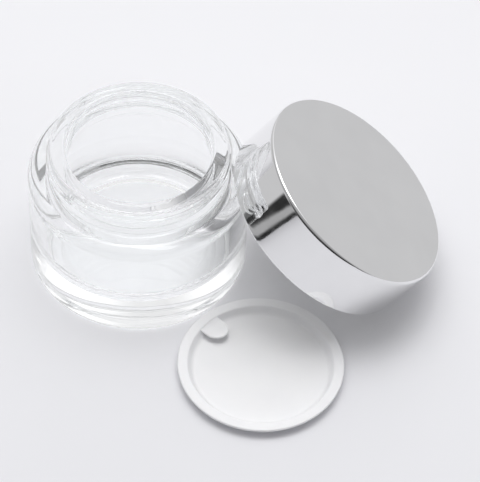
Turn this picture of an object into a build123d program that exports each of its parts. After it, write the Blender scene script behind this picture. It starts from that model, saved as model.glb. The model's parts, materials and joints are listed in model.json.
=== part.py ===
from build123d import *
import os
from math import cos, radians, sin

# Thick-walled glass cream jar, standing open, with its screw cap leaning on the shoulder
# and its inner sealing disc lying on the table beside it.
# Millimetres, +Z up. The origin is the centre of the jar's foot.

# ---- driving dimensions -------------------------------------------------------------
# glass jar
body_radius = 30.0
foot_edge_round = 2.3
shoulder_height = 33.7
shoulder_round = 3.0
jar_height = 42.2
neck_radius = 24.2
neck_base_round = 0.8
lip_round = 1.0
mouth_radius = 19.7
mouth_bottom = 34.2
mouth_bottom_round = 2.0
cavity_radius = 25.3
cavity_top = 27.5
cavity_top_round = 4.0
cavity_floor = 7.0
cavity_floor_round = 8.0

# screw thread, the same ridge on the neck and inside the cap
thread_pitch = 3.6
thread_turns = 1.1
thread_depth = 0.8
thread_crest = 0.7
thread_base = 1.9
thread_sink = 0.3
neck_thread_start = 36.2

# cap: a drawn metal shell over a moulded liner
cap_radius = 29.7
cap_height = 16.5
shell_wall = 0.6
shell_edge_round = 0.7
liner_edge_step = 2.6
liner_bore = 25.4
liner_wall = 1.2
liner_plate = 1.2
liner_flange = 1.0
liner_rib_count = 24
liner_rib_width = 0.8
liner_thread_start = 3.6
standoff_radius = 19.0
standoff_wall = 1.2

# foam wad against the liner's ceiling
wad_radius = 25.0
wad_thickness = 1.0
wad_gap = 0.05
closed_gap = 0.35

# how the cap leans: its axis from vertical, the way it leans, and where its rim's lowest
# point stands on the table
lean_tilt = 36.9
lean_azimuth = 6.0
stand_x = 73.0

# inner sealing disc: a shallow dish with a flat flange, face up on the table
disc_x = 35.5
disc_y = -40.5
disc_radius = 22.4
disc_height = 3.0
disc_flange = 0.8
disc_edge_round = 0.3
plug_radius = 19.5
plug_wall = 0.7
plug_lead_in = 0.4
panel_thickness = 0.8

# pull tab: a tongue from the flange across the disc's recess
tab_azimuth = 139.0
tab_root = 18.3
tab_length = 5.2
tab_half_width = 3.6
tab_thickness = 0.6
tab_top = 2.9

os.makedirs("parts", exist_ok=True)


# ---- shared construction ------------------------------------------------------------
def thread_ridge(base, start, wall_radius, depth):
    """A helical ridge of trapezoid section on a cylinder round the base plane's normal.

    It starts at a height above the base plane. A positive depth stands out of the wall,
    and a negative one stands into the bore.
    """
    sink = -thread_sink if depth > 0 else thread_sink
    centre = base.origin + base.z_dir * start
    with BuildPart() as ridge:
        with BuildLine() as path:
            Helix(thread_pitch, thread_pitch * thread_turns, wall_radius, centre, base.z_dir)
        outward = (path.line @ 0 - centre).normalized()
        with BuildSketch(Plane(origin=path.line @ 0, x_dir=outward, z_dir=path.line % 0)):
            with BuildLine():
                Polyline(
                    (sink, -thread_base / 2),
                    (sink, thread_base / 2),
                    (depth, thread_crest / 2),
                    (depth, -thread_crest / 2),
                    close=True,
                )
            make_face()
        sweep(is_frenet=True)
    return ridge.part


# ---- glass jar: foot, wall, shoulder, neck and bowl-shaped inside --------------------
neck_ridge = thread_ridge(Plane.XY, neck_thread_start, neck_radius, thread_depth)

with BuildPart() as glass_jar:
    with BuildSketch(Plane.XZ):
        with BuildLine():
            section = FilletPolyline(
                (0, 0),
                (body_radius, 0),
                (body_radius, shoulder_height),
                (neck_radius, shoulder_height),
                (neck_radius, jar_height),
                (mouth_radius, jar_height),
                (mouth_radius, mouth_bottom),
                (cavity_radius, cavity_top),
                (cavity_radius, cavity_floor),
                (0, cavity_floor),
                radius=[
                    foot_edge_round,
                    shoulder_round,
                    neck_base_round,
                    lip_round,
                    lip_round,
                    mouth_bottom_round,
                    cavity_top_round,
                    cavity_floor_round,
                ],
            )
            Line(section @ 1, section @ 0)
        make_face()
    revolve(axis=Axis.Z)
    add(neck_ridge)

glass_jar.part.label = "glass_jar"
export_step(glass_jar.part, "parts/glass_jar.step")


# ---- cap frame: origin at the rim's centre, +Z out through the closed face -----------
# +X runs down the slope, to the rim's lowest point, which stands on the table.
leaning = Plane(Rotation(0, 0, lean_azimuth) * Rotation(0, lean_tilt, 0))
cap_frame = Plane(
    origin=Vector(stand_x, 0, 0) - leaning.x_dir * cap_radius,
    x_dir=leaning.x_dir,
    z_dir=leaning.z_dir,
)
cap_axis = Axis(cap_frame.origin, cap_frame.z_dir)
cap_section = Plane(
    origin=cap_frame.origin,
    x_dir=cap_frame.x_dir,
    z_dir=cap_frame.x_dir.cross(cap_frame.z_dir),
)
shell_inside = cap_radius - shell_wall
ceiling = cap_height - shell_wall
# screwed down, the wad presses the disc's flange on the lip just as the rim nears the shoulder
seal_height = jar_height + disc_flange + wad_thickness + wad_gap
liner_depth = seal_height - shoulder_height - closed_gap
plate_top = liner_depth + liner_plate


# ---- cap shell: a drawn cup with a rounded top edge ----------------------------------
with BuildPart() as cap_shell:
    with BuildSketch(cap_section):
        with BuildLine():
            skin = FilletPolyline(
                (0, cap_height),
                (cap_radius, cap_height),
                (cap_radius, 0),
                (shell_inside, 0),
                (shell_inside, ceiling),
                (0, ceiling),
                radius=[shell_edge_round, 0, 0, 0],
            )
            Line(skin @ 1, skin @ 0)
        make_face()
    revolve(axis=cap_axis)

cap_shell.part.label = "cap_shell"
export_step(cap_shell.part, "parts/cap_shell.step")


# ---- cap liner: threaded cup, rim flange, side ribs and a stand-off under the shell ---
liner_ridge = thread_ridge(cap_frame, liner_thread_start, liner_bore, -thread_depth)
liner_outside = liner_bore + liner_wall

with BuildPart() as cap_liner:
    with BuildSketch(cap_section):
        with BuildLine():
            Polyline(
                (0, liner_depth),
                (liner_bore, liner_depth),
                (liner_bore, liner_edge_step),
                (shell_inside, liner_edge_step),
                (shell_inside, liner_edge_step + liner_flange),
                (liner_outside, liner_edge_step + liner_flange),
                (liner_outside, plate_top),
                (standoff_radius + standoff_wall, plate_top),
                (standoff_radius + standoff_wall, ceiling),
                (standoff_radius, ceiling),
                (standoff_radius, plate_top),
                (0, plate_top),
                close=True,
            )
        make_face()
    revolve(axis=cap_axis)
    # ribs centre the liner in the shell
    with BuildSketch(cap_frame.offset(liner_edge_step + liner_flange)):
        rib_length = shell_inside - liner_outside
        with PolarLocations(liner_outside + rib_length / 2, liner_rib_count):
            Rectangle(rib_length + liner_wall / 2, liner_rib_width)
        Circle(shell_inside, mode=Mode.INTERSECT)
    extrude(amount=plate_top - liner_edge_step - liner_flange)
    add(liner_ridge)

cap_liner.part.label = "cap_liner"
export_step(cap_liner.part, "parts/cap_liner.step")


# ---- sealing wad: a loose foam disc under the liner's ceiling -------------------------
with BuildPart() as sealing_wad:
    with BuildSketch(cap_frame.offset(liner_depth - wad_gap)):
        Circle(wad_radius)
    extrude(amount=-wad_thickness)

sealing_wad.part.label = "sealing_wad"
export_step(sealing_wad.part, "parts/sealing_wad.step")


# ---- inner disc: flange, plug wall that fits the mouth, and recessed panel ------------
disc_axis = Axis((disc_x, disc_y, 0), (0, 0, 1))
disc_section = Plane(origin=(disc_x, disc_y, 0), x_dir=(1, 0, 0), z_dir=(0, -1, 0))

with BuildPart() as inner_disc:
    with BuildSketch(disc_section):
        with BuildLine():
            dish = FilletPolyline(
                (0, 0),
                (plug_radius, 0),
                (plug_radius, disc_height - disc_flange),
                (disc_radius, disc_height - disc_flange),
                (disc_radius, disc_height),
                (plug_radius - plug_wall, disc_height),
                (plug_radius - plug_wall, panel_thickness),
                (0, panel_thickness),
                radius=[plug_lead_in, 0, disc_edge_round, disc_edge_round, disc_edge_round, 0],
            )
            Line(dish @ 1, dish @ 0)
        make_face()
    revolve(axis=disc_axis)

inner_disc.part.label = "inner_disc"
export_step(inner_disc.part, "parts/inner_disc.step")


# ---- pull tab: half-round tongue whose straight root is the living hinge --------------
toward_tab = Vector(cos(radians(tab_azimuth)), sin(radians(tab_azimuth)), 0)
tab_frame = Plane(
    origin=Vector(disc_x, disc_y, tab_top) + toward_tab * tab_root,
    x_dir=-toward_tab,
    z_dir=(0, 0, 1),
)

with BuildPart() as pull_tab:
    with BuildSketch(tab_frame):
        Ellipse(tab_length, tab_half_width)
        with Locations((tab_length / 2, 0)):
            Rectangle(tab_length, 2 * tab_half_width, mode=Mode.INTERSECT)
    extrude(amount=-tab_thickness)

pull_tab.part.label = "pull_tab"
export_step(pull_tab.part, "parts/pull_tab.step")
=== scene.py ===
import json
from math import ceil, cos, pi, radians, sin, tan

import bmesh
import bpy
import numpy as np
from mathutils import Matrix, Vector


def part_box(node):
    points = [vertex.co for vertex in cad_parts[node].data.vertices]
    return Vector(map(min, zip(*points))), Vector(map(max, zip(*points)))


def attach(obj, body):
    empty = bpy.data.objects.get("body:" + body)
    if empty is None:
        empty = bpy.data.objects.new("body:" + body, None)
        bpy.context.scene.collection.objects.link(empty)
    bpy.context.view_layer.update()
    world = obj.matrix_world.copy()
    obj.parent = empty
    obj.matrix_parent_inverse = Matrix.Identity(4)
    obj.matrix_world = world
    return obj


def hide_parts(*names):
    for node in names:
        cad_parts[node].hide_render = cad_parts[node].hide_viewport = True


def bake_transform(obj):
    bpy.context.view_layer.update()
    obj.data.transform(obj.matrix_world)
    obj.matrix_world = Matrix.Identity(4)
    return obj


# Open glass cream jar with its mirror cap leaning on the shoulder and its inner disc beside
# it. Named lengths and outlines are in millimetres; meshes, lamps and camera are in metres.

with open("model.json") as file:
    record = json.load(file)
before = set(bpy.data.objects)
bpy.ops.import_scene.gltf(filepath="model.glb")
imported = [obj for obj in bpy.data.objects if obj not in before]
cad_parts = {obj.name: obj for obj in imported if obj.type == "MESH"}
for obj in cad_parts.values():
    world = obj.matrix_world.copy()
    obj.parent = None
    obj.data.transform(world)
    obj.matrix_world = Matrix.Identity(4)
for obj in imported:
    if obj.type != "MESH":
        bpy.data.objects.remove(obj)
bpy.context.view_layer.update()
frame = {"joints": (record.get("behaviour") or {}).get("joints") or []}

MM = 0.001
FULL_TURN = 2 * pi
SEGMENTS = 256
EDGE_SLACK = 0.01

# ---- glass jar, mm ------------------------------------------------------------------
_, jar_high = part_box("glass_jar")
body_radius = jar_high.x / MM
jar_height = jar_high.z / MM
shoulder_height = 33.7
neck_radius = 24.2
neck_foot_round = 0.8
mouth_radius = 19.7
mouth_bottom = 34.2
cavity_radius = 25.3
cavity_top = 27.5
cavity_floor = 7.0
punt_radius = 24.0
punt_rise = 0.5
punt_slope = 2.0
# share of a lamp's light that one surface of the glass lets through to the table
lamp_share = 0.93

# screw thread, the same rib on the neck and inside the cap
thread_pitch = 3.6
thread_turns = 1.1
thread_depth = 0.8
thread_crest = 0.7
thread_base = 1.9
thread_taper = 0.05
neck_thread_start = 36.2

# ---- cap, mm ------------------------------------------------------------------------
cap_radius = 29.7
cap_height = 16.5
shell_wall = 0.6
shell_brow_drop = 0.65
shell_brow_inset = 0.33
shell_brow_round = 1.9
shell_edge_round = 0.45
shell_gap = 0.02
liner_edge_step = 2.6
liner_bore = 25.4
liner_wall = 1.2
liner_plate = 1.2
liner_flange = 1.0
liner_depth = 10.0
liner_corner = 0.3
liner_lead_in = 0.4
rib_count = 24
rib_width = 0.8
rib_draft = 0.8
rib_root_sink = 0.2
rib_foot_sink = 0.1
rib_top_drop = 0.3
liner_thread_start = 3.6
standoff_radius = 19.0
standoff_wall = 1.2
wad_radius = 25.0
wad_thickness = 1.0
wad_gap = 0.05
press_width = 1.4
press_depth = 0.1

# ---- inner disc and its tab, mm -----------------------------------------------------
disc_low, disc_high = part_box("inner_disc")
disc_centre = (disc_low + disc_high) / 2
disc_radius = (disc_high.x - disc_low.x) / 2 / MM
disc_height = disc_high.z / MM
disc_flange = 0.8
plug_radius = 19.5
plug_wall = 0.7
panel_thickness = 0.8
rim_slope_out = 0.2
rim_slope_in = 0.2
tab_length = 5.2
tab_half_width = 3.6
tab_thickness = 0.6
tab_edge_round = 0.3
tab_bead_width = 0.9
tab_bead_rise = 0.06
tab_bead_slope = 0.4
tab_web_length = 1.7
tab_web_steps = 8
tab_arc_steps = 48
tab_neck = 0.1
tab_neck_reach = 0.6
tab_curl = 0.45
tab_web_thinning = 0.35
tab_web_slope = 0.4

# ---- places from the joints ---------------------------------------------------------
joints = {j["name"]: j for j in frame["joints"]}
cap_rim = Vector(joints["wad_turn"]["pos_m"])
cap_axis = Vector(joints["wad_turn"]["axis"]).normalized()
cap_across = Vector(joints["cap_tip"]["axis"]).normalized()
cap_down = cap_across.cross(cap_axis)
cap_turn = Matrix((cap_down, cap_across, cap_axis)).transposed()
cap_place = Matrix.Translation(cap_rim) @ cap_turn.to_4x4()
disc_place = Matrix.Translation((disc_centre.x, disc_centre.y, 0))
tab_root = Vector(joints["tab_flip"]["pos_m"])


# ---- mesh helpers -------------------------------------------------------------------
def add_object(name, data):
    """Puts a mesh, lamp or camera into the scene."""
    item = bpy.data.objects.new(name, data)
    bpy.context.scene.collection.objects.link(item)
    return item


def outline(corners, arc_step=0.12, run_step=2.0):
    """An open (radius, height) outline. A corner is (r, z, rounding) and may end with the
    longest step of the run that follows it."""
    points = []
    steps = []
    for i, corner in enumerate(corners):
        here = Vector(corner[:2])
        step = corner[3] if len(corner) > 3 else run_step
        if corner[2] == 0:
            points.append(here)
            steps.append(step)
            continue
        back = (Vector(corners[i - 1][:2]) - here).normalized()
        ahead = (Vector(corners[i + 1][:2]) - here).normalized()
        half = back.angle(ahead) / 2
        centre = here + (back + ahead).normalized() * (corner[2] / sin(half))
        first = here + back * (corner[2] / tan(half)) - centre
        last = here + ahead * (corner[2] / tan(half)) - centre
        sweep = pi - 2 * half
        count = max(8, ceil(sweep * corner[2] / arc_step))
        for k in range(count + 1):
            share = k / count
            weight_first = sin((1 - share) * sweep) / sin(sweep)
            weight_last = sin(share * sweep) / sin(sweep)
            points.append(centre + first * weight_first + last * weight_last)
            steps.append(step if k == count else 1e9)
    dense = [points[0]]
    for start, end, step in zip(points, points[1:], steps):
        pieces = max(1, ceil((end - start).length / step))
        dense += [start.lerp(end, k / pieces) for k in range(1, pieces + 1)]
    return np.array([tuple(p) for p in dense])


def lathe(name, points, relief=None, segments=SEGMENTS):
    """A closed solid of revolution about Z, with smooth normals from the slopes of its outline
    and relief. The outline starts and ends on the axis and goes round the section with the
    solid on its left. relief(angle, r, z) moves points outward, in mm."""
    angle = np.arange(segments) * FULL_TURN / segments
    angle, r = np.meshgrid(angle, points[:, 0])
    z = np.repeat(points[:, 1:], segments, axis=1)
    run = np.zeros_like(points)
    run[1:-1] = points[2:] - points[:-2]
    run_r, run_z = (np.repeat(run[:, k : k + 1], segments, axis=1) for k in (0, 1))
    turn_r = np.zeros_like(r)
    if relief:
        nudge = 0.001
        rise_z = (relief(angle, r, z + nudge) - relief(angle, r, z - nudge)) / (2 * nudge)
        turn_r = (relief(angle + nudge, r, z) - relief(angle - nudge, r, z)) / (2 * nudge)
        run_r = run_r + rise_z * run_z
        r = r + relief(angle, r, z) * (r > 0)
    out = np.stack([np.cos(angle), np.sin(angle), np.zeros_like(angle)], axis=2)
    side = np.stack([-np.sin(angle), np.cos(angle), np.zeros_like(angle)], axis=2)
    up = np.array((0, 0, 1))
    grid = (out * r[..., None] + up * z[..., None]) * MM
    around = out * turn_r[..., None] + side * r[..., None]
    along = out * run_r[..., None] + up * run_z[..., None]
    normal = np.cross(around, along)
    normal[1:-1] /= np.linalg.norm(normal[1:-1], axis=2, keepdims=True)
    rings = len(points) - 2
    poles = [(grid[0, 0], normal[1].mean(0)), (grid[-1, 0], normal[-2].mean(0))]
    verts = [*grid[1:-1].reshape(-1, 3), *(p for p, _ in poles)]
    normals = [*normal[1:-1].reshape(-1, 3), *(n / np.linalg.norm(n) for _, n in poles)]
    first, last = rings * segments, rings * segments + 1
    faces = []
    for j in range(segments):
        k = (j + 1) % segments
        faces.append((first, k, j))
        for i in range(rings - 1):
            a, b = i * segments, (i + 1) * segments
            faces.append((a + j, a + k, b + k, b + j))
        faces.append((last, (rings - 1) * segments + j, (rings - 1) * segments + k))
    mesh = bpy.data.meshes.new(name)
    mesh.from_pydata([tuple(v) for v in verts], [], faces)
    mesh.shade_smooth()
    mesh.normals_split_custom_set_from_vertices([tuple(n) for n in normals])
    return add_object(name, mesh)


def smoothstep(x):
    x = np.clip(x, 0, 1)
    return x * x * (3 - 2 * x)


def thread(angle, z, start):
    """Height of the helical rib at each point, in mm, with its ends run out."""
    rise = np.zeros_like(z)
    for lap in range(ceil(thread_turns)):
        turn = angle / FULL_TURN + lap
        off = np.abs(z - start - thread_pitch * turn)
        bump = smoothstep((thread_base / 2 - off) / ((thread_base - thread_crest) / 2))
        ends = smoothstep(turn / thread_taper) * smoothstep((thread_turns - turn) / thread_taper)
        rise = np.maximum(rise, thread_depth * bump * ends)
    return rise


def finish_piece(piece, body, node, material, place=None):
    """Moves the mesh to its place, gives it its material, ties it to its body and hides the CAD
    part of that node.
    """
    if place is not None:
        piece.data.transform(place)
    piece.data.materials.append(material)
    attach(piece, body)
    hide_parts(node)


# ---- material helpers ---------------------------------------------------------------
def mix_colour(tree, share, one, other, kind="MIX"):
    """Blends, or with kind ADD adds, a colour or socket `other` on the socket `one`."""
    mix = tree.nodes.new("ShaderNodeMix")
    mix.data_type = "RGBA"
    mix.blend_type = kind
    tree.links.new(share, mix.inputs["Factor"])
    tree.links.new(one, mix.inputs["A"])
    if isinstance(other, bpy.types.NodeSocket):
        tree.links.new(other, mix.inputs["B"])
    else:
        mix.inputs["B"].default_value = other
    return mix.outputs["Result"]


class Nodes:
    """A material's node tree with short calls for the few nodes the finishes need."""

    def __init__(self, name):
        self.material = bpy.data.materials.new(name)
        self.material.use_nodes = True
        self.tree = self.material.node_tree
        self.shader = self.tree.nodes["Principled BSDF"]
        self.output = self.tree.nodes["Material Output"]
        self.place = self.new("ShaderNodeTexCoord").outputs["Object"]

    def new(self, kind, **inputs):
        node = self.tree.nodes.new(kind)
        for name, value in inputs.items():
            self.set(node, name.replace("_", " "), value)
        return node

    def set(self, node, name, value):
        if isinstance(value, bpy.types.NodeSocket):
            self.tree.links.new(value, node.inputs[name])
        else:
            node.inputs[name].default_value = value

    def noise(self, size_mm, detail=2.0, roughness=0.5):
        scale = 1 / (size_mm * MM)
        return self.new(
            "ShaderNodeTexNoise", Vector=self.place, Scale=scale, Detail=detail, Roughness=roughness
        ).outputs["Fac"]

    def spread(self, value, low, high, start=0.3, end=0.7):
        return self.new(
            "ShaderNodeMapRange", Value=value, From_Min=start, From_Max=end, To_Min=low, To_Max=high
        ).outputs["Result"]

    def tint(self, value, low, high):
        node = self.new("ShaderNodeValToRGB", Fac=value)
        node.color_ramp.elements[0].color = (*low, 1)
        node.color_ramp.elements[1].color = (*high, 1)
        node.color_ramp.elements[0].position = 0.35
        node.color_ramp.elements[1].position = 0.65
        return node.outputs["Color"]

    def bump(self, height, depth_mm, normal=None):
        node = self.new("ShaderNodeBump", Height=height, Distance=depth_mm * MM, Strength=1.0)
        if normal is not None:
            self.set(node, "Normal", normal)
        return node.outputs["Normal"]

    def principled(self, **inputs):
        for name, value in inputs.items():
            self.set(self.shader, name.replace("_", " "), value)


# ---- materials ----------------------------------------------------------------------
def clear_glass():
    """Fire-polished flint glass with a faint pressed-glass wave and the odd handling smear.
    For shadows it is simply see-through, so that the lamps light the table behind it."""
    n = Nodes("clear_glass")
    n.principled(
        Base_Color=(0.985, 0.992, 0.99, 1),
        Roughness=n.spread(n.noise(7, detail=3), 0.0, 0.012),
        IOR=1.5,
        Transmission_Weight=1.0,
        Normal=n.bump(n.noise(9, detail=1), 0.012),
    )
    through = n.new("ShaderNodeBsdfTransparent", Color=(lamp_share, lamp_share, lamp_share, 1))
    rays = n.new("ShaderNodeLightPath")
    mix = n.new("ShaderNodeMixShader", Fac=rays.outputs["Is Shadow Ray"])
    n.tree.links.new(n.shader.outputs["BSDF"], mix.inputs[1])
    n.tree.links.new(through.outputs["BSDF"], mix.inputs[2])
    n.tree.links.new(mix.outputs["Shader"], n.output.inputs["Surface"])
    return n.material


def silver_metal():
    """Bright-anodised drawn aluminium: a mirror with a slight orange peel and fine haze."""
    n = Nodes("silver_metal")
    peel = n.bump(n.noise(11, detail=1), 0.010)
    n.principled(
        Base_Color=n.tint(n.noise(16, detail=2), (0.86, 0.86, 0.865), (0.89, 0.89, 0.895)),
        Metallic=1.0,
        Roughness=n.spread(n.noise(4, detail=4), 0.02, 0.055),
        Normal=n.bump(n.noise(0.5), 0.0006, peel),
    )
    return n.material


def white_liner():
    """Satin moulded polypropylene."""
    n = Nodes("white_liner")
    n.principled(
        Base_Color=n.tint(n.noise(9), (0.86, 0.86, 0.85), (0.9, 0.9, 0.89)),
        Roughness=n.spread(n.noise(1.2, detail=4), 0.32, 0.46),
        Subsurface_Weight=0.15,
        Subsurface_Radius=(1.0, 1.0, 0.9),
        Subsurface_Scale=MM,
        Normal=n.bump(n.noise(0.35, detail=3), 0.004),
    )
    return n.material


def foam_wad():
    """Expanded polyethylene: matt, with fine closed cells."""
    n = Nodes("foam_wad")
    cells = n.new("ShaderNodeTexVoronoi", Vector=n.place, Scale=1 / (0.45 * MM))
    n.principled(
        Base_Color=n.tint(n.noise(5), (0.88, 0.88, 0.87), (0.92, 0.92, 0.91)),
        Roughness=n.spread(n.noise(0.8), 0.62, 0.8),
        Subsurface_Weight=0.2,
        Subsurface_Radius=(1.0, 1.0, 1.0),
        Subsurface_Scale=MM,
        Normal=n.bump(cells.outputs["Distance"], 0.05),
    )
    return n.material


def disc_plastic():
    """Translucent white polyethylene with a soft moulded sheen and faint flow marks."""
    n = Nodes("disc_plastic")
    flow = n.bump(n.noise(6, detail=2), 0.02)
    n.principled(
        Base_Color=n.tint(n.noise(12, detail=3), (0.92, 0.92, 0.94), (0.945, 0.945, 0.96)),
        Roughness=n.spread(n.noise(1.5, detail=4), 0.36, 0.48),
        Subsurface_Weight=0.35,
        Subsurface_Radius=(2.0, 2.0, 2.1),
        Subsurface_Scale=MM,
        Normal=n.bump(n.noise(0.3, detail=3), 0.003, flow),
    )
    return n.material


def table_top():
    """Matt white paper floor, its colour painted a little brighter towards the back: painted light,
    standing in for light that falls off towards the front.
    """
    n = Nodes("table_top")
    split = n.new("ShaderNodeSeparateXYZ", Vector=n.place)
    # painted light: the floor's colour is made brighter towards the back, in place of light falling
    # off towards the front
    back = n.spread(split.outputs["Y"], 0.0, 1.0, painted_light_front, painted_light_back)
    grain = n.tint(n.noise(60, detail=3), (0.795, 0.795, 0.82), (0.805, 0.805, 0.83))
    n.principled(
        Base_Color=mix_colour(n.tree, back, grain, (0.865, 0.865, 0.888, 1)),
        Roughness=n.spread(n.noise(2, detail=3), 0.7, 0.8),
        Specular_IOR_Level=0.2,
    )
    return n.material


# ---- pieces -------------------------------------------------------------------------
def jar():
    """Foot with a shallow punt, straight wall, round shoulder, threaded neck, round lip, and
    a bowl-shaped inside."""
    points = outline([
        (0, punt_rise, 0, 1.0),
        (punt_radius - punt_slope, punt_rise, 3.0, 0.3),
        (punt_radius, 0, 1.0, 0.5),
        (body_radius, 0, 2.3, 2.0),
        (body_radius, shoulder_height, 3.0, 0.5),
        (neck_radius, shoulder_height, neck_foot_round, 0.15),
        (neck_radius, jar_height, 1.0, 0.4),
        (mouth_radius, jar_height, 1.0, 0.8),
        (mouth_radius, mouth_bottom, 2.0, 0.8),
        (cavity_radius, cavity_top, 4.0, 1.0),
        (cavity_radius, cavity_floor, 8.0, 1.0),
        (0, cavity_floor, 0),
    ], arc_step=0.2)

    def relief(angle, r, z):
        neck = (r > neck_radius - EDGE_SLACK) & (z > shoulder_height + neck_foot_round)
        return thread(angle, z, neck_thread_start) * neck

    piece = lathe("glass_jar_body", points, relief)
    finish_piece(piece, "jar", "glass_jar", clear_glass())


def cap_shell():
    """Drawn metal cup: flat mirror face, tight edge, straight skirt with a cut lower edge."""
    inside = cap_radius - shell_wall
    points = outline([
        (0, cap_height - shell_wall, 0, 2.0),
        (inside, cap_height - shell_wall, 0.4, 2.0),
        (inside, 0, 0.25, 0.3),
        (cap_radius, 0, 0.25, 1.0),
        (cap_radius, cap_height - shell_brow_drop, shell_brow_round, 1.0),
        (cap_radius - shell_brow_inset, cap_height, shell_edge_round, 1.0),
        (0, cap_height, 0),
    ], arc_step=0.08)
    piece = lathe("cap_shell_skin", points)
    finish_piece(piece, "cap", "cap_shell", silver_metal(), cap_place)


def cap_liner(material):
    """Threaded cup with a rim flange, centred in the shell by ribs and a stand-off ring."""
    inside = cap_radius - shell_wall - shell_gap
    outside = liner_bore + liner_wall
    flange_top = liner_edge_step + liner_flange
    plate_top = liner_depth + liner_plate
    ceiling = cap_height - shell_wall - shell_gap
    points = outline([
        (0, liner_depth, 0, 2.0),
        (liner_bore, liner_depth, liner_corner, 0.15),
        (liner_bore, liner_edge_step, liner_lead_in, 0.5),
        (inside, liner_edge_step, 0.15, 0.5),
        (inside, flange_top, 0.15, 0.5),
        (outside, flange_top, 0.3, 1.0),
        (outside, plate_top, 0.3, 1.0),
        (standoff_radius + standoff_wall, plate_top, 0.3, 1.0),
        (standoff_radius + standoff_wall, ceiling, 0.2, 0.5),
        (standoff_radius, ceiling, 0.2, 1.0),
        (standoff_radius, plate_top, 0.3, 2.0),
        (0, plate_top, 0),
    ])

    def relief(angle, r, z):
        straight = (z > liner_edge_step + liner_lead_in) & (z < liner_depth - liner_corner)
        bore = (r < liner_bore + EDGE_SLACK) & straight
        return -thread(angle, z, liner_thread_start) * bore

    piece = lathe("cap_liner_cup", points, relief)
    finish_piece(piece, "cap", "cap_liner", material, cap_place)


def liner_ribs(material):
    """Thin radial ribs between the liner and the shell."""
    inner = liner_bore + liner_wall - rib_root_sink
    outer = cap_radius - shell_wall - shell_gap
    foot = liner_edge_step + liner_flange - rib_foot_sink
    top = liner_depth + liner_plate - rib_top_drop
    half = rib_width / 2
    verts, faces = [], []
    for k in range(rib_count):
        turn = Matrix.Rotation(k * FULL_TURN / rib_count, 4, "Z")
        first = len(verts)
        for z, draft in ((foot, 1.0), (top, rib_draft)):
            for r, side in ((inner, -1), (outer, -1), (outer, 1), (inner, 1)):
                verts.append(turn @ Vector((r, side * half * draft, z)) * MM)
        quads = [(3, 2, 1, 0), (4, 5, 6, 7), (0, 1, 5, 4), (1, 2, 6, 5), (2, 3, 7, 6), (3, 0, 4, 7)]
        faces += [tuple(first + v for v in quad) for quad in quads]
    mesh = bpy.data.meshes.new("cap_liner_ribs")
    mesh.from_pydata(verts, [], faces)
    piece = add_object("cap_liner_ribs", mesh)
    finish_piece(piece, "cap", "cap_liner", material, cap_place)


def sealing_wad():
    """Foam disc with soft edges and the faint ring that a jar's lip presses into it."""
    top = liner_depth - wad_gap
    press_radius = (neck_radius + mouth_radius) / 2
    points = outline([
        (0, top - wad_thickness, 0, 0.6),
        (wad_radius, top - wad_thickness, 0.2, 0.5),
        (wad_radius, top, 0.2, 2.0),
        (0, top, 0),
    ])
    groove = np.exp(-(((points[:, 0] - press_radius) / press_width) ** 2)) * press_depth
    points[:, 1] += groove * (points[:, 1] < top - wad_thickness / 2)
    piece = lathe("sealing_wad_foam", points)
    finish_piece(piece, "wad", "sealing_wad", foam_wad(), cap_place)


def inner_disc(material):
    """Shallow dish: recessed panel, thin plug wall and a soft-edged flat flange."""
    flange_low = disc_height - disc_flange
    slope_top = plug_radius + rim_slope_out
    slope_foot = plug_radius - plug_wall - rim_slope_in
    points = outline([
        (0, 0, 0, 2.0),
        (plug_radius, 0, 0.4, 0.5),
        (plug_radius, flange_low, 0.15, 0.5),
        (disc_radius, flange_low, 0.3, 0.3),
        (disc_radius, disc_height, 0.35, 0.5),
        (slope_top, disc_height, 0.6, 0.3),
        (slope_foot, panel_thickness, 1.2, 1.0),
        (0, panel_thickness, 0),
    ])
    piece = lathe("inner_disc_dish", points)
    finish_piece(piece, "disc", "inner_disc", material, disc_place)


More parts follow.
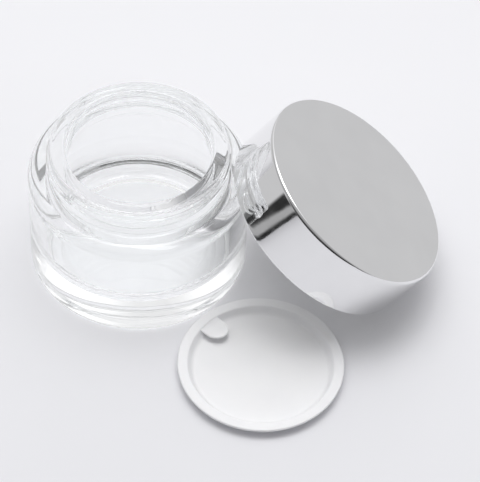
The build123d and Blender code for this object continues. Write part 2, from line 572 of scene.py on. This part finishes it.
def pull_tab(material):
    """Half-moon tongue with a beaded edge and a slight upward curl. Its root runs on into the
    flange as a thin web, thinned where the tab hinges. Rows go from the middle line out
    to the rim, and columns from one end of the web round the arc to its other end."""
    inward = (Vector((disc_centre.x, disc_centre.y, tab_root.z)) - tab_root).normalized()
    across = Vector((-inward.y, inward.x, 0))
    inner_rows = np.arange(tab_half_width, 1.4, -0.25)
    rim_angles = np.radians(np.arange(80, -1, -10))
    rows = [tab_half_width - edge for edge in (*inner_rows, 1.3, 1.0, 0.8, 0.6)]
    rows += [tab_half_width - tab_edge_round * (1 - cos(a)) for a in rim_angles]
    root_side = 1 - tab_neck
    web = [(-tab_web_length * k / tab_web_steps, -root_side) for k in range(tab_web_steps, 0, -1)]
    arc = []
    for t in np.linspace(-pi / 2, pi / 2, tab_arc_steps + 1):
        x = tab_length / tab_half_width * cos(t)
        narrow = 1 - tab_neck * (1 - smoothstep(cos(t) / tab_neck_reach))
        arc.append((x, sin(t) * narrow))
    columns = web + arc + [(x, root_side) for x, _ in reversed(web)]
    verts, faces = [], []
    for side in (1, -1):
        for row in rows:
            edge = tab_half_width - row
            bead = smoothstep((tab_bead_width - edge) / tab_bead_slope) * tab_bead_rise
            rounding = 1 - max(0, 1 - edge / tab_edge_round) ** 2
            half = (tab_thickness / 2 + bead) * max(0, rounding) ** 0.5
            for k, (x, y) in enumerate(columns):
                on_web = k < len(web) or k >= len(web) + len(arc)
                reach = x if on_web else x * row
                thin = half * (1 - tab_web_thinning * smoothstep(-reach / tab_web_slope))
                place = tab_root + (inward * reach + across * y * row) * MM
                lift = tab_curl * max(0, reach / tab_length) ** 2
                place.z += (side * thin - tab_thickness / 2 + lift) * MM
                verts.append(place)
    wide, layer = len(columns), len(rows) * len(columns)
    for i in range(len(rows) - 1):
        for k in range(wide - 1):
            a, b = i * wide + k, (i + 1) * wide + k
            faces.append((a, b, b + 1, a + 1))
            faces.append((layer + a, layer + a + 1, layer + b + 1, layer + b))
        for k in (0, wide - 1):
            a, b = i * wide + k, (i + 1) * wide + k
            faces.append((a, layer + a, layer + b, b) if k == 0 else (a, b, layer + b, layer + a))
    mesh = bpy.data.meshes.new("pull_tab_tongue")
    mesh.from_pydata(verts, [], faces)
    welded = bmesh.new()
    welded.from_mesh(mesh)
    bmesh.ops.remove_doubles(welded, verts=welded.verts, dist=0.001 * MM)
    bmesh.ops.recalc_face_normals(welded, faces=welded.faces)
    welded.to_mesh(mesh)
    mesh.shade_smooth()
    mesh.materials.append(material)
    piece = add_object("pull_tab_tongue", mesh)
    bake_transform(piece)
    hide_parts("pull_tab")


# ---- studio -------------------------------------------------------------------------
def table():
    """A large floor, set just under the foot of the jar so that the two never coincide."""
    mesh = bpy.data.meshes.new("table")
    size, low = table_size, -table_drop * MM
    corners = [(-size, -size, low), (size, -size, low), (size, size, low), (-size, size, low)]
    mesh.from_pydata(corners, [], [(0, 1, 2, 3)])
    mesh.materials.append(table_top())
    floor = add_object("table", mesh)


def soft_light(name, azimuth, elevation, width, height, power):
    """A rectangular soft box facing the object from a direction given in degrees. It is left
    out of what is seen through the glass."""
    a, e = radians(azimuth), radians(elevation)
    place = Vector((cos(a) * cos(e), sin(a) * cos(e), sin(e))) * light_distance
    light = bpy.data.lights.new(name, "AREA")
    light.shape = "RECTANGLE"
    light.size = width
    light.size_y = height
    light.energy = power
    lamp = add_object(name, light)
    lamp.visible_transmission = False
    facing = (-place).to_track_quat("-Z", "Y").to_matrix().to_4x4()
    lamp.matrix_world = Matrix.Translation(place) @ facing


def sky():
    """Studio surroundings: brightest near the horizon, with soft glows added overhead, the
    dark room low down behind the camera and a dark table edge and frame low on the left."""
    world = bpy.data.worlds.new("studio")
    bpy.context.scene.world = world
    world.use_nodes = True
    tree = world.node_tree
    nodes, links = tree.nodes, tree.links
    direction = nodes.new("ShaderNodeTexCoord").outputs["Generated"]
    split = nodes.new("ShaderNodeSeparateXYZ")
    links.new(direction, split.inputs[0])

    def by_height(stops):
        """Brightness by elevation, from (elevation in degrees, brightness) stops."""
        ramp = nodes.new("ShaderNodeValToRGB")
        links.new(split.outputs["Z"], ramp.inputs["Fac"])
        elements = ramp.color_ramp.elements
        elements.remove(elements[1])
        for i, (elevation, level) in enumerate(stops):
            stop = elements[0] if i == 0 else elements.new(sin(radians(elevation)))
            stop.position = sin(radians(elevation))
            stop.color = (level, level, level * cool, 1)
        return ramp.outputs["Color"]

    def glow(azimuth, elevation, outer, inner):
        """1 within the inner angle of a direction, and 0 beyond the outer angle."""
        a, e = radians(azimuth), radians(elevation)
        facing = nodes.new("ShaderNodeVectorMath")
        facing.operation = "DOT_PRODUCT"
        facing.inputs[1].default_value = (cos(a) * cos(e), sin(a) * cos(e), sin(e))
        links.new(direction, facing.inputs[0])
        fade = nodes.new("ShaderNodeMapRange")
        fade.interpolation_type = "SMOOTHSTEP"
        links.new(facing.outputs["Value"], fade.inputs["Value"])
        fade.inputs["From Min"].default_value = cos(radians(outer))
        fade.inputs["From Max"].default_value = cos(radians(inner))
        return fade.outputs["Result"]

    colour = by_height(sky_heights)
    for azimuth, elevation, outer, inner, level in soft_glows:
        share = glow(azimuth, elevation, outer, inner)
        colour = mix_colour(tree, share, colour, (level, level, level * cool, 1), "ADD")
    colour = mix_colour(tree, glow(*room_spread), colour, by_height(room_heights))
    colour = mix_colour(tree, glow(*frame_spread), colour, by_height(frame_heights))
    links.new(colour, nodes["Background"].inputs["Color"])
    nodes["Background"].inputs["Strength"].default_value = world_strength


def camera():
    """Long lens, looking along +Y from above, rolled a little."""
    view = Vector((0, cos(radians(camera_elevation)), -sin(radians(camera_elevation))))
    level = Vector((1, 0, 0))
    upright = level.cross(view)
    roll = radians(camera_roll)
    right = level * cos(roll) + upright * sin(roll)
    up = upright * cos(roll) - level * sin(roll)
    data = bpy.data.cameras.new("camera")
    data.sensor_fit = "HORIZONTAL"
    data.sensor_width = camera_sensor
    data.lens = camera_lens
    eye = add_object("camera", data)
    place = Vector(camera_target) - view * camera_distance
    turn = Matrix((right, up, -view)).transposed().to_4x4()
    eye.matrix_world = Matrix.Translation(place) @ turn
    bpy.context.scene.camera = eye


# ---- studio values ------------------------------------------------------------------
# floor: size in m, drop in mm, and the Y in m where the painted light in its colour starts and
# stops getting brighter
table_size = 4.0
table_drop = 0.03
painted_light_front = -0.1
painted_light_back = 0.07

# camera: lengths in m, angles in degrees, lens and sensor in mm
camera_target = (0.0282, -0.0125, 0.02)
camera_distance = 0.6864
camera_elevation = 49.77
camera_roll = 2.97
camera_lens = 190.4
camera_sensor = 36

# surroundings: heights are (elevation in degrees, brightness), and spreads are (azimuth,
# elevation, outer angle, inner angle). cool is how much brighter blue is than red.
cool = 1.01
sky_heights = [(0, 1.25), (15, 1.25), (30, 0.7), (60, 0.7)]
room_heights = [(0, 0.06), (18, 0.1), (28, 0.5), (40, 0.85)]
room_spread = (-95, 0, 72, 60)
frame_heights = [
    (0, 0.04),
    (0.6, 0.06),
    (0.8, 0.85),
    (2.1, 0.85),
    (2.3, 0.06),
    (3.5, 0.06),
    (4.5, 1.0),
    (30, 0.7),
]
frame_spread = (-160, 0, 14, 10)
world_strength = 0.5

# glows: (azimuth, elevation, outer angle, inner angle, brightness)
soft_glows = [
    (95, 60, 52, 20, 1.05),
    (38, 62, 32, 8, 1.0),
    (165, 62, 32, 8, 1.0),
]

# lamps: (name, azimuth, elevation, width in m, height in m, watts)
light_distance = 1.6
soft_lights = [
    ("key", 58, 76, 0.75, 0.75, 5.6),
    ("fill", 150, 76, 0.75, 0.75, 4.0),
]

# bounces: enough for light trapped in the glass to find its way out
glass_bounces = 64
see_through_bounces = 24

# ---- build --------------------------------------------------------------------------
liner_white = white_liner()
disc_white = disc_plastic()
jar()
cap_shell()
cap_liner(liner_white)
liner_ribs(liner_white)
sealing_wad()
inner_disc(disc_white)
pull_tab(disc_white)

table()
sky()
for light in soft_lights:
    soft_light(*light)
camera()
scene = bpy.context.scene
scene.view_settings.view_transform = "Standard"
scene.cycles.max_bounces = glass_bounces
scene.cycles.transmission_bounces = glass_bounces
scene.cycles.glossy_bounces = glass_bounces
scene.cycles.transparent_max_bounces = see_through_bounces
